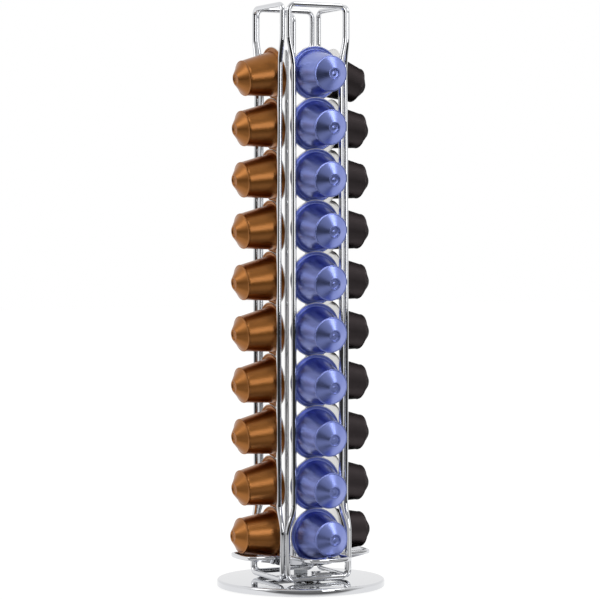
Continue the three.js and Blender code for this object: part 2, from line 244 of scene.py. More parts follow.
@dataclass(frozen=True)
class LacqueredAluminium:
    """Deep-drawn aluminium foil under tinted lacquer: a satin metal with fine grain and soft mottling."""

    name: str
    colour: str
    shade: str                  # where the drawn metal is denser
    edge: str = WHITE           # of the sheen at a glancing angle
    roughness: float = 0.34
    grain_mm: float = 0.35      # orange peel of the drawn foil
    grain_span: tuple[float, float] = (0.3, 0.7)
    grain_relief: float = 0.05
    grain_depth_mm: float = 0.1
    smoother: float = 0.04      # less roughness in the grain's hollows
    rougher: float = 0.06       # more of it on the grain's crests
    mottle_mm: float = 6.0
    coat: float = 0.25
    coat_roughness: float = 0.22

    def build(self) -> Material:
        """Makes the material."""
        surface = Surface(self.name, 1.0)
        surface.keep("Coat Weight", self.coat)
        surface.keep("Coat Roughness", self.coat_roughness)
        surface.keep("Specular Tint", linear(self.edge))
        surface.tint(surface.noise(self.mottle_mm, octaves=4.0), self.shade, self.colour)
        grain = surface.noise(self.grain_mm, octaves=2.0)
        ends = (self.roughness - self.smoother, self.roughness + self.rougher)
        surface.dull(grain, self.grain_span, ends)
        surface.emboss(grain, self.grain_relief, self.grain_depth_mm)
        return surface.material


@dataclass(frozen=True)
class EmbossedFoil:
    """The capsule's lid: bright aluminium foil pressed with a fine waffle, so it glints in small cells."""

    name: str = "embossed_foil"
    colour: str = "#E9E8E6"
    roughness: float = 0.34
    cell_mm: float = 1.4
    unevenness: float = 0.15    # of the cells
    crease_mm: float = 5.0
    relief: float = 0.18
    relief_depth_mm: float = 0.3

    def build(self) -> Material:
        """Makes the material."""
        surface = Surface(self.name, 1.0)
        surface.keep("Base Color", linear(self.colour))
        surface.keep("Roughness", self.roughness)
        cells = add_node(
            surface.tree, "TexVoronoi", links={"Vector": surface.spot},
            values={"Scale": pattern_scale(self.cell_mm), "Randomness": self.unevenness},
        )
        pressing = add_node(
            surface.tree, "Math", operation="ADD",
            links={0: cells.outputs["Distance"], 1: surface.noise(self.crease_mm, octaves=2.0)},
        )
        surface.emboss(pressing.outputs["Value"], self.relief, self.relief_depth_mm)
        return surface.material


@dataclass(frozen=True)
class ZincPlatedSteel:
    """Hardware steel under dull zinc: grey, lightly scuffed, with a soft sheen."""

    name: str = "zinc_plated_steel"
    colour: str = "#C6C9CC"
    worn: str = "#A6A9AD"
    roughness: float = 0.34
    duller: float = 0.12        # more roughness where the scuffs are deepest
    shinier: float = 0.06       # less of it where there are none
    scuff_mm: float = 2.5
    scuff_harshness: float = 0.7

    def build(self) -> Material:
        """Makes the material."""
        surface = Surface(self.name, 1.0)
        scuffs = surface.noise(self.scuff_mm, octaves=6.0, harshness=self.scuff_harshness)
        surface.tint(scuffs, self.worn, self.colour)
        surface.dull(scuffs, (0.0, 1.0), (self.roughness + self.duller, self.roughness - self.shinier))
        return surface.material


@dataclass(frozen=True)
class MouldedPolymer:
    """A moulded or vulcanised polymer with the fine skin of its mould."""

    name: str
    colour: str
    shade: str
    roughness: float
    grain_mm: float
    relief: float
    relief_depth_mm: float = 0.2

    def build(self) -> Material:
        """Makes the material."""
        surface = Surface(self.name, 0.0)
        surface.keep("Roughness", self.roughness)
        skin = surface.noise(self.grain_mm, octaves=4.0)
        surface.tint(skin, self.shade, self.colour)
        surface.emboss(skin, self.relief, self.relief_depth_mm)
        return surface.material


# Mesh helpers

Corner = tuple[float, float, float]
Profile = list[tuple[float, float]]
Faces = list[tuple[int, ...]]


def fan(turn: float, steps: int) -> list[float]:
    """Evenly spaced angles from 0 to a turn, both included."""
    return [turn * step / steps for step in range(steps + 1)]


def level_ring(radius: float, height: float, count: int) -> list[Vector]:
    """A level circle of so many points about +Z."""
    around = fan(2 * math.pi, count)[:-1]
    return [Vector((radius * math.cos(angle), radius * math.sin(angle), height)) for angle in around]


def add_object(name: str, data: ID) -> Object:
    """Puts a mesh, lamp or camera into the scene."""
    obj = bpy.data.objects.new(name, data)
    bpy.context.scene.collection.objects.link(obj)
    return obj


def rounded_profile(corners: Sequence[Corner], steps: int = 5) -> Profile:
    """Rounds the corners of a profile.

    Args:
        corners: Radius, height and fillet radius of each corner, in millimetres. The first and last
            corners stay sharp.
        steps: Straight steps in each fillet.

    Returns:
        The points of the rounded profile.
    """
    points: Profile = []
    last = len(corners) - 1
    for index, (radius, height, fillet) in enumerate(corners):
        here = Vector((radius, height))
        if fillet <= 0 or index in (0, last):
            points.append((here.x, here.y))
            continue
        back = Vector(corners[index - 1][:2]) - here
        ahead = Vector(corners[index + 1][:2]) - here
        half = back.angle(ahead) / 2
        limit = FILLET_SHARE * min(back.length, ahead.length)
        reach = min(fillet / math.tan(half), limit)
        start = here + back.normalized() * reach
        end = here + ahead.normalized() * reach
        for step in range(steps + 1):
            share = step / steps
            low = start.lerp(here, share)
            high = here.lerp(end, share)
            point = low.lerp(high, share)
            points.append((point.x, point.y))
    return points


def finish_mesh(
    name: str, vertices: Sequence[Vector], faces: Faces, material: Material, sharp_degrees: float = 38.0
) -> Mesh:
    """Makes a smooth-shaded mesh from points in millimetres.

    Args:
        name: The mesh's name.
        vertices: Points in millimetres.
        faces: Corner numbers of each face.
        material: The finish.
        sharp_degrees: Edges that turn by more than this stay crisp.

    Returns:
        The mesh.
    """
    mesh = bpy.data.meshes.new(name)
    mesh.from_pydata([point * MM for point in vertices], [], faces)
    mesh.validate()
    mesh.materials.append(material)
    mesh.shade_smooth()
    mesh.set_sharp_from_angle(angle=math.radians(sharp_degrees))
    return mesh


def turned_mesh(name: str, profile: Profile, material: Material, segments: int) -> Mesh:
    """Turns a profile about +Z.

    Args:
        name: The mesh's name.
        profile: Radius and height of each point, anticlockwise seen with the radius to the right. It
            starts and ends on the axis, or is a closed loop without its first point repeated.
        material: The finish.
        segments: Steps round the axis.

    Returns:
        The mesh.
    """
    rings = [
        level_ring(radius, height, segments) if radius > AXIS_RADIUS else [Vector((0.0, 0.0, height))]
        for radius, height in profile
    ]
    vertices, faces = skin_of_rings(rings, len(rings[0]) > 1)
    return finish_mesh(name, vertices, faces, material)


def skin_of_rings(rings: Sequence[list[Vector]], closed: bool) -> tuple[list[Vector], Faces]:
    """Joins rings of equally many points.

    Args:
        rings: The rings, each a loop of points, or a single point where the skin comes together.
        closed: Whether the last ring meets the first; otherwise the end rings are filled.

    Returns:
        The points and the faces.
    """
    vertices = [point for ring in rings for point in ring]
    starts = [0]
    for ring in rings:
        starts.append(starts[-1] + len(ring))
    count = max(len(ring) for ring in rings)
    faces: Faces = []
    for band in range(len(rings) if closed else len(rings) - 1):
        ahead = (band + 1) % len(rings)
        here, there = starts[band], starts[ahead]
        for step in range(count):
            following = (step + 1) % count
            if len(rings[band]) == 1:
                faces.append((here, there + following, there + step))
            elif len(rings[ahead]) == 1:
                faces.append((here + step, here + following, there))
            else:
                faces.append((here + step, here + following, there + following, there + step))
    if not closed and len(rings[0]) > 1:
        faces.append(tuple(reversed(range(count))))
        faces.append(tuple(range(starts[-2], starts[-1])))
    return vertices, faces


def wire_rings(
    route: Sequence[Vector], radius: float, side: Vector, closed: bool, sides: int
) -> list[list[Vector]]:
    """Lays rings along a wire's route.

    Args:
        route: The wire's centre line in millimetres.
        radius: The wire's radius.
        side: Square to the plane that the route keeps close to.
        closed: Whether the route is a loop.
        sides: Points in each ring.

    Returns:
        The rings. An open wire's ends lose their sharp edge.
    """
    def ring(point: Vector, along: Vector, size: float) -> list[Vector]:
        """A ring square to the wire at one point."""
        outward = (side - along * side.dot(along)).normalized()
        across = along.cross(outward)
        return [
            point + outward * (size * math.cos(angle)) + across * (size * math.sin(angle))
            for angle in fan(2 * math.pi, sides)[:-1]
        ]

    last = len(route) - 1
    directions: list[Vector] = []
    for index, point in enumerate(route):
        before = route[index - 1] if closed or index > 0 else point
        after = route[(index + 1) % len(route)] if closed or index < last else point
        directions.append(((point - before).normalized() + (after - point).normalized()).normalized())
    rings = [ring(point, along, radius) for point, along in zip(route, directions)]
    if closed:
        return rings
    edge = WIRE_END_ROUND * radius
    rings[0] = ring(route[0] + directions[0] * edge, directions[0], radius)
    rings[-1] = ring(route[-1] - directions[-1] * edge, directions[-1], radius)
    lead = ring(route[0], directions[0], radius - edge)
    tail = ring(route[-1], directions[-1], radius - edge)
    return [lead, *rings, tail]


def place(
    mesh: Mesh, name: str, body: str, node: str | None = None, pose: Matrix | None = None
) -> None:
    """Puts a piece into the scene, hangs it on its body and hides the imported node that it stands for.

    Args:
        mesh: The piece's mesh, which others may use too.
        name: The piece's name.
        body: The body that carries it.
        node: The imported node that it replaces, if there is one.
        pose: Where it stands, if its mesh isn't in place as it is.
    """
    obj = add_object(name, mesh)
    if pose is not None:
        obj.matrix_world = pose
    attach(obj, body)
    if node is not None:
        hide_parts(node)
    LOG.info("%s rides on %s", name, body)


def reach_of(node: str) -> Vector:
    """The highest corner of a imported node, in millimetres."""
    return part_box(node)[1] / MM


def foot_of(node: str) -> Vector:
    """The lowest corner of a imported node, in millimetres."""
    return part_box(node)[0] / MM


# Sub-assemblies


@dataclass
class Column:
    """Where the rails run and how the capsules of one face stand behind them.

    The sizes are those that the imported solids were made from.
    """

    seat_gap: float = 0.3
    flange_radius: float = 18.5
    flange_thickness: float = 1.3
    root_radius: float = 15.4
    shoulder_radius: float = 12.1
    cup_depth: float = 23.6
    nest_clearance: float = 0.8
    flange_rail_clearance: float = 0.75
    flange_lean_reach: float = 6.5
    lowest_lean: float = math.radians(0.75)
    upper_lean: float = math.radians(7.0)
    count: int = 10
    wire_radius: float = 1.75
    flange_overlap: float = 2.6
    flange_room: float = 2.25
    top_taper: float = 0.75
    top_corner_gap: float = 1.05
    bow_across: float = 0.2
    bow_outward: float = 0.6
    corner_radius: float = 4.6
    narrow_end_rise: float = 2.8
    top_jog_length: float = 24.0
    narrow_start_rise: float = 3.25
    bottom_jog_length: float = 20.1
    tray_floor: float = 17.65
    tray_floor_margin: float = 0.2
    ramp_angle: float = math.radians(9.5)

    def __post_init__(self) -> None:
        """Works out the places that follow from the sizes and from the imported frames."""
        packed_frame = "rail_frame_right"
        self.taper = (self.root_radius - self.shoulder_radius) / (self.cup_depth - self.flange_thickness / 2)
        self.pitch = (
            self.flange_radius + self.root_radius + self.nest_clearance + self.taper * self.flange_thickness
        ) / (math.cos(self.upper_lean) + self.taper * math.sin(self.upper_lean))
        self.foot = self.tray_floor + self.seat_gap + self.flange_radius
        self.head = self.foot + (self.count - 1) * self.pitch
        self.narrow_top = self.head + self.narrow_end_rise
        self.top_jog_top = self.narrow_top + self.top_jog_length
        self.narrow_bottom = self.foot + self.flange_radius + self.narrow_start_rise
        self.bottom_jog_bottom = self.narrow_bottom - self.bottom_jog_length
        self.top_bar = reach_of(packed_frame).z - self.wire_radius
        self.bottom_bar = foot_of(packed_frame).z + self.wire_radius
        self.narrow_half = self.flange_radius - self.flange_overlap + self.wire_radius
        self.bottom_half = self.flange_radius + self.flange_room + self.wire_radius
        touching = (2 * self.wire_radius + self.seat_gap) / math.sqrt(2)
        self.bottom_distance = self.bottom_half + touching
        self.top_distance = self.bottom_distance - self.top_taper
        self.top_half = self.top_distance - (2 * self.wire_radius + self.top_corner_gap) / math.sqrt(2)

    def bow(self, height: float) -> float:
        """How far into the bow a height is, from 0 at its ends to 1 halfway up."""
        middle = (self.narrow_top + self.narrow_bottom) / 2
        share = (height - middle) / ((self.narrow_top - self.narrow_bottom) / 2)
        return max(0.0, 1.0 - share * share)

    def rail_distance(self, height: float) -> float:
        """From the spin axis to the centre of a rail's wire."""
        share = (height - self.bottom_bar) / (self.top_bar - self.bottom_bar)
        straight = self.bottom_distance + (self.top_distance - self.bottom_distance) * share
        return straight + self.bow_outward * self.bow(height)

    def rail_across(self, height: float) -> float:
        """From a face's middle to the centre of a rail's wire on the narrow stretch."""
        return self.narrow_half + self.bow_across * self.bow(height)

    def flange_distance(self, height: float, lean: float) -> float:
        """From the spin axis to the middle of a flange that leans on the rails."""
        beside = max(0.0, self.rail_across(height) - self.flange_radius)
        seat = math.sqrt(max(0.0, self.wire_radius ** 2 - beside ** 2))
        room = self.flange_lean_reach * math.sin(lean)
        return (self.rail_distance(height) - seat - self.flange_rail_clearance - room
                - self.flange_thickness / 2)

    def well_edge(self) -> float:
        """Radius at which the tray's ramps start."""
        lowest = self.flange_distance(self.foot, self.lowest_lean)
        return lowest - self.flange_thickness / 2 - self.tray_floor_margin

    def ramp(self, radius: float) -> float:
        """Height of the tray's ramps at a radius."""
        return self.tray_floor + (radius - self.well_edge()) * math.tan(self.ramp_angle)

    def nested_height(self, below: tuple[float, float, float], distance: float, lean: float) -> float:
        """Height of a flange's centre at which its cup clears the edge of the flange below.

        Args:
            below: Distance, height and lean of the flange below.
            distance: The upper flange's distance from the spin axis.
            lean: The upper capsule's lean.

        Returns:
            The height, in millimetres.
        """
        below_distance, below_height, below_lean = below
        half = self.flange_thickness / 2
        heights = []
        for along in (-half, half):
            ahead = (below_distance + along * math.cos(below_lean)
                     + self.flange_radius * math.sin(below_lean) - distance)
            corner = below_height - along * math.sin(below_lean) + self.flange_radius * math.cos(below_lean)
            cup = self.root_radius + self.taper * (half - ahead * math.cos(lean))
            room = self.nest_clearance + cup + ahead * math.sin(lean)
            heights.append(corner + room / (math.cos(lean) + self.taper * math.sin(lean)))
        return max(heights)

    def places(self, top_lean: float) -> list[tuple[float, float, float]]:
        """Where a column's flanges stand.

        Args:
            top_lean: The lean of the highest capsule, in radians.

        Returns:
            Distance, height and lean of each flange, from the lowest one up.
        """
        half = self.flange_thickness / 2
        lowest = self.flange_distance(self.foot, self.lowest_lean)
        bottom = (self.ramp(lowest + half) + self.seat_gap
                  + self.flange_radius * math.cos(self.lowest_lean) + half * math.sin(self.lowest_lean))
        column = [(lowest, bottom, self.lowest_lean)]
        while len(column) < self.count:
            lean = top_lean if len(column) == self.count - 1 else self.upper_lean
            distance = self.flange_distance(column[-1][1] + self.pitch, lean)
            column.append((distance, self.nested_height(column[-1], distance, lean), lean))
        return column

    def pose(self, face: Face, number: int, top_lean: float) -> Matrix:
        """Where a capsule stands, from its own frame, in which +Z points out of its nose.

        Args:
            face: The capsule's face.
            number: Its number from the bottom, from 1.
            top_lean: The lean of the highest capsule of that face, in radians.

        Returns:
            The placing matrix, in metres.
        """
        distance, height, lean = self.places(top_lean)[number - 1]
        shift = Matrix.Translation(Vector((distance, 0.0, height)) * MM)
        return face.turn() @ shift @ Matrix.Rotation(math.pi / 2 + lean, 4, "Y")


@dataclass
class RailFrames:
    """Four closed loops of chromed wire that hold the capsules by their flanges."""

    column: Column
    chrome: Material
    corner_steps: int = 12
    jog_steps: int = 18
    narrow_steps: int = 30
    sides: int = 24

    def half_outline(self) -> Profile:
        """The +Y half of a frame, from the top bar to the bottom bar.

        Returns:
            Across and height of each point.
        """
        c = self.column
        points = [(across, c.top_bar - drop) for across, drop in reversed(self.corner(c.top_half))]
        points += self.jog(c.top_half, c.narrow_half, c.top_jog_top, c.narrow_top)
        for step in range(1, self.narrow_steps):
            height = c.narrow_top + (c.narrow_bottom - c.narrow_top) * step / self.narrow_steps
            points.append((c.rail_across(height), height))
        points += self.jog(c.narrow_half, c.bottom_half, c.narrow_bottom, c.bottom_jog_bottom)
        points += [(across, c.bottom_bar + rise) for across, rise in self.corner(c.bottom_half)]
        return points

    def corner(self, half: float) -> Profile:
        """A corner's points, from the upright wire to the bar, as across and distance from the bar."""
        radius = self.column.corner_radius
        return [
            (half - radius + radius * math.cos(angle), radius - radius * math.sin(angle))
            for angle in fan(math.pi / 2, self.corner_steps)
        ]

    def jog(self, from_across: float, to_across: float, start: float, end: float) -> Profile:
        """A soft bend from one width to another.

        Args:
            from_across: Half width where the jog starts.
            to_across: Half width where it ends.
            start: Height where it starts.
            end: Height where it ends.

        Returns:
            Across and height of each point.
        """
        points = []
        for step in range(self.jog_steps + 1):
            share = step / self.jog_steps
            ease = (1 - math.cos(math.pi * share)) / 2
            points.append((from_across + (to_across - from_across) * ease, start + (end - start) * share))
        return points

    def build(self, face: Face) -> None:
        """Makes one face's frame."""
        half = self.half_outline()
        loop = half + [(-across, height) for across, height in reversed(half)]
        route = [Vector((self.column.rail_distance(height), across, height)) for across, height in loop]
        rings = wire_rings(route, self.column.wire_radius, Vector((1, 0, 0)), True, self.sides)
        vertices, faces = skin_of_rings(rings, True)
        turned = [face.turn() @ point for point in vertices]
        mesh = finish_mesh(f"wire_frame_{face.label}", turned, faces, self.chrome)
        place(mesh, mesh.name, "carousel", f"rail_frame_{face.label}")


@dataclass
class GuideWires:
    """The straight wires behind the columns. The one on the empty face hooks under its top bar."""

    column: Column
    chrome: Material
    radius: float = 1.55
    bend_radius: float = 5.5
    straight_steps: int = 8
    bend_steps: int = 14
    sides: int = 20

    def build(self, face: Face) -> None:
        """Makes one face's guide wire."""
        foot = foot_of("guide_wire_right")
        distance = foot.x + self.radius
        hooked = face is Face.BACK
        top = reach_of(f"guide_wire_{face.label}").z
        if hooked:
            top -= self.radius + self.bend_radius
        route = [Vector((distance, 0, foot.z + (top - foot.z) * step / self.straight_steps))
                 for step in range(self.straight_steps + 1)]
        if hooked:
            for angle in fan(math.pi / 2, self.bend_steps)[1:]:
                out = distance + self.bend_radius * (1 - math.cos(angle))
                route.append(Vector((out, 0, top + self.bend_radius * math.sin(angle))))
            route.append(Vector((reach_of("guide_wire_back").y, 0, top + self.bend_radius)))
        rings = wire_rings(route, self.radius, Vector((0, 1, 0)), False, self.sides)
        vertices, faces = skin_of_rings(rings, False)
        turned = [face.turn() @ point for point in vertices]
        mesh = finish_mesh(f"guide_rod_{face.label}", turned, faces, self.chrome)
        place(mesh, mesh.name, "carousel", f"guide_wire_{face.label}")


@dataclass
class CapsuleTray:
    """The stamped tray that the lowest capsules stand on."""

    column: Column
    chrome: Material
    lobe_reach: float = 48.2
    lobe_clearance: float = 4.1
    corner_clearance: float = 5.65
    rim_rise: float = 1.7
    rim_width: float = 2.0
    rim_round: float = 0.65
    rim_depth: float = 2.9
    rim_steps: int = 6
    centre_radius: float = 0.5  # of the smallest ring
    plate: float = 1.0
    well_wall: float = 2.2
    well_depth: float = 0.7
    boss_wall: float = 2.2
    boss_margin: float = 0.1
    corner_sharpness: float = 11.0
    fillet_sharpness: float = 14.0
    angle_steps: int = 320
    sharp_degrees: float = 30.0

    def waist(self) -> float:
        """Radius of the tray between two lobes, inside the frames' corners."""
        c = self.column
        return math.hypot(c.bottom_half, c.bottom_distance) - c.wire_radius - self.corner_clearance

    def outline(self, angle: float) -> Vector:
        """A point of the tray's outline.

        Args:
            angle: The point's angle about the spin axis.

        Returns:
            The point, at height 0.
        """
        c = self.column
        half = c.bottom_half - c.wire_radius - self.lobe_clearance
        middle = self.waist()
        quarter = math.pi / 2
        from_lobe = abs(angle - quarter * round(angle / quarter))
        side = self.lobe_reach / half * math.sin(from_lobe)
        lobe = self.lobe_reach * (1 + side ** self.corner_sharpness) ** (-1 / self.corner_sharpness)
        radius = lobe * (1 + (middle / lobe) ** self.fillet_sharpness) ** (1 / self.fillet_sharpness)
        return Vector((radius * math.cos(angle), radius * math.sin(angle), 0.0))

    def rim_ring(self, inset: float, height_at: Callable[[float], float]) -> list[Vector]:
        """A ring that follows the outline.

        Args:
            inset: How far inside the outline it runs.
            height_at: Gives the height at a radius.

        Returns:
            The ring's points.
        """
        probe = 0.001
        ring = []
        for angle in fan(2 * math.pi, self.angle_steps)[:-1]:
            ahead = (self.outline(angle + probe) - self.outline(angle - probe)).normalized()
            point = self.outline(angle) + Vector((-ahead.y, ahead.x, 0.0)) * inset
            ring.append(Vector((point.x, point.y, height_at(math.hypot(point.x, point.y)))))
        return ring

    def round_ring(self, radius: float, height: float) -> list[Vector]:
        """A level circle about the spin axis."""
        return level_ring(radius, height, self.angle_steps)

    def build(self) -> None:
        """Makes the tray, from the middle of its underside over the rim to the middle of its floor."""
        c = self.column
        edge = c.well_edge()
        well_radius = edge - self.well_wall
        well_floor = c.tray_floor - self.well_depth
        boss_edge = self.waist() - self.rim_width - self.boss_margin
        boss_radius = boss_edge - self.boss_wall
        rim_top = c.ramp(self.lobe_reach) + self.rim_rise
        rim_bottom = rim_top - self.rim_depth
        bead = self.rim_width / 2
        soft = self.rim_round

        def under(radius: float) -> float:
            """Height of the plate's underside at a radius."""
            return c.ramp(radius) - self.plate

        rings = [
            self.round_ring(self.centre_radius, well_floor - self.plate),
            self.round_ring(boss_radius - soft, well_floor - self.plate),
            self.round_ring(boss_radius, well_floor - 0.9 * self.plate),
            self.round_ring(boss_edge, under(boss_edge)),
            self.rim_ring(self.rim_width, under),
            self.rim_ring(self.rim_width - soft, lambda radius: rim_bottom + 0.1),
        ]
        for angle in fan(math.pi / 2, self.rim_steps):
            height = rim_bottom + soft * (1 - math.cos(angle))
            rings.append(self.rim_ring(soft * (1 - math.sin(angle)), lambda radius, h=height: h))
        for angle in fan(math.pi, 2 * self.rim_steps):
            height = rim_top - bead + bead * math.sin(angle)
            rings.append(self.rim_ring(bead * (1 - math.cos(angle)), lambda radius, h=height: h))
        rings += [
            self.rim_ring(self.rim_width + 0.35 * soft, lambda radius: c.ramp(radius) + 0.3 * soft),
            self.rim_ring(self.rim_width + soft, c.ramp),
            self.round_ring(edge, c.tray_floor),
            self.round_ring(edge - 0.5 * soft, c.tray_floor - 0.15 * soft),
            self.round_ring(well_radius + 0.5 * soft, well_floor + 0.15 * soft),
            self.round_ring(well_radius, well_floor),
            self.round_ring(self.centre_radius, well_floor),
        ]
        vertices, faces = skin_of_rings(rings, False)
        mesh = finish_mesh("stamped_tray", vertices, faces, self.chrome, self.sharp_degrees)
        place(mesh, mesh.name, "carousel", "capsule_tray")


@dataclass
class Capsules:
    """Filled capsules: a deep-drawn lacquered cup with a curled rim, and a foil lid sealed on it."""

    column: Column
    foil: Material
    coats: dict[Face, Material]
    slots: dict[Face, str]
    top_leans: dict[Face, float]
    end_radius: float = 4.5
    cone_length: float = 5.6
    foil_edge: float = 0.4      # of bare foil that shows round the lacquered rim
    foil_wrap: float = 1.2      # how far the foil is folded in over the rim
    seal_width: float = 2.3     # of the lid's flat edge
    curl: float = 0.9           # width of the cup's curled rim
    curl_drop: float = 0.55     # from the curl's crest to the flat beside it
    bead: float = 0.1           # height of the bead round the shoulder
    nose_flat: float = 0.75     # width of the ring round the dimple
    dimple_depth: float = 0.9
    segments: int = 72
    cups: dict[Face, Mesh] = field(default_factory=dict)
    lid: Mesh | None = None

    def cup_profile(self) -> Profile:
        """The cup's profile, from the middle of its sealed side to the dimple in its nose."""
        column = self.column
        half = column.flange_thickness / 2
        rim = column.flange_radius
        root = column.root_radius
        flat = half - self.curl_drop
        curl_foot = rim - self.foil_edge - self.curl
        shoulder = column.shoulder_radius
        depth = column.cup_depth
        end = self.end_radius
        nose = depth + self.cone_length
        corners = [
            (0.0, -0.15, 0.0),
            (rim - self.foil_wrap, -0.15, 0.0),
            (rim - self.foil_wrap, 0.12, 0.0),
            (rim - self.foil_edge, 0.12, 0.1),
            (rim - self.foil_edge, half, 0.26),
            (curl_foot, half, 0.4),
            (curl_foot - 0.3, flat, 0.25),
            (root + 0.55, flat, 0.4),
            (root - 0.1, half + 0.35, 0.5),
            (shoulder - self.bead, depth - 1.6, 0.4),
            (shoulder - self.bead, depth - 1.0, 0.2),
            (shoulder, depth - 0.6, 0.4),
            (shoulder - 0.2, depth + 0.1, 0.4),
            (shoulder - 0.95, depth + 0.2, 0.3),
            (end + 0.4, nose - 0.55, 0.6),
            (end - 0.35, nose, 0.4),
            (end - 0.35 - self.nose_flat, nose, 0.35),
            (end - 1.5, nose - 0.75, 0.3),
            (1.6, nose - self.dimple_depth, 0.8),
            (0.0, nose - self.dimple_depth / 2, 0.0),
        ]
        return rounded_profile(corners)

    def lid_profile(self) -> Profile:
        """The foil's profile: a disc that dips a little in the middle and wraps round the rim."""
        half = self.column.flange_thickness / 2
        rim = self.column.flange_radius
        corners = [
            (0.0, -half + 0.22, 0.0),
            (rim - self.seal_width - 0.9, -half + 0.12, 1.0),
            (rim - self.seal_width, -half, 0.3),
            (rim, -half, 0.34),
            (rim, 0.1, 0.3),
            (rim - self.foil_wrap, 0.1, 0.0),
            (rim - self.foil_wrap, -0.17, 0.0),
            (0.0, -0.17, 0.0),
        ]
        return rounded_profile(corners, 4)

    def build(self, face: Face, number: int) -> None:
        """Makes one capsule, as a cup and a lid."""
        label = f"{face.label}_{number:02d}"
        if face not in self.cups:
            self.cups[face] = turned_mesh(f"cup_{label}", self.cup_profile(), self.coats[face], self.segments)
        if self.lid is None:
            self.lid = turned_mesh(f"lid_{label}", self.lid_profile(), self.foil, self.segments)
        pose = self.column.pose(face, number, self.top_leans[face])
        body = f"lowest_{face.label}" if number == 1 else f"stack_{face.label}"
        place(self.cups[face], f"cup_{label}", body, f"capsule_{label}", pose)
        place(self.lid, f"lid_{label}", body, pose=pose)


@dataclass
class Base:
    """The polished disc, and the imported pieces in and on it: ballast, foot ring, pivot and spider."""

    chrome: Material
    steel: Material
    nylon: Material
    rubber: Material
    wall: float = 1.0
    rim_round: float = 1.8
    screw_radius: float = 2.5
    hole_gap: float = 0.3
    rim_steps: int = 8
    segments: int = 192

    def build(self) -> None:
        """Makes the disc and dresses the pieces under and on it."""
        top = reach_of("base_disc")
        foot = foot_of("base_disc")
        hole = self.screw_radius + self.hole_gap
        corners = [
            (hole, top.z - self.wall, 0.0),
            (top.x - self.wall, top.z - self.wall, 0.8),
            (top.x - self.wall, foot.z, 0.0),
            (top.x - 0.35 * self.wall, foot.z, 0.3),
            (top.x, foot.z + 0.45, 0.4),
            (top.x, top.z, self.rim_round),
            (hole, top.z, 0.0),
        ]
        profile = rounded_profile(corners, self.rim_steps)
        disc = turned_mesh("polished_disc", profile, self.chrome, self.segments)
        place(disc, disc.name, "base", "base_disc")
        for node in ("base_ballast", "pivot_screw", "lock_nut"):
            self.dress(node, self.steel)
        self.dress("base_foot_ring", self.rubber)
        self.dress("pivot_washer", self.nylon)
        self.dress("turntable_spider", self.chrome)

    def dress(self, node: str, material: Material) -> None:
        """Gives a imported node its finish."""
        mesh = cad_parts[node].data
        mesh.materials.clear()
        mesh.materials.append(material)
        LOG.info("%s is dressed in %s", node, material.name)


# Studio


@dataclass(frozen=True)
class SoftBox:
    """An area lamp that is aimed at the tower's middle."""

    name: str
    azimuth_degrees: float      # from the camera's direction, to the right
    height_m: float
    distance_m: float
    width_m: float
    length_m: float
    power_w: float


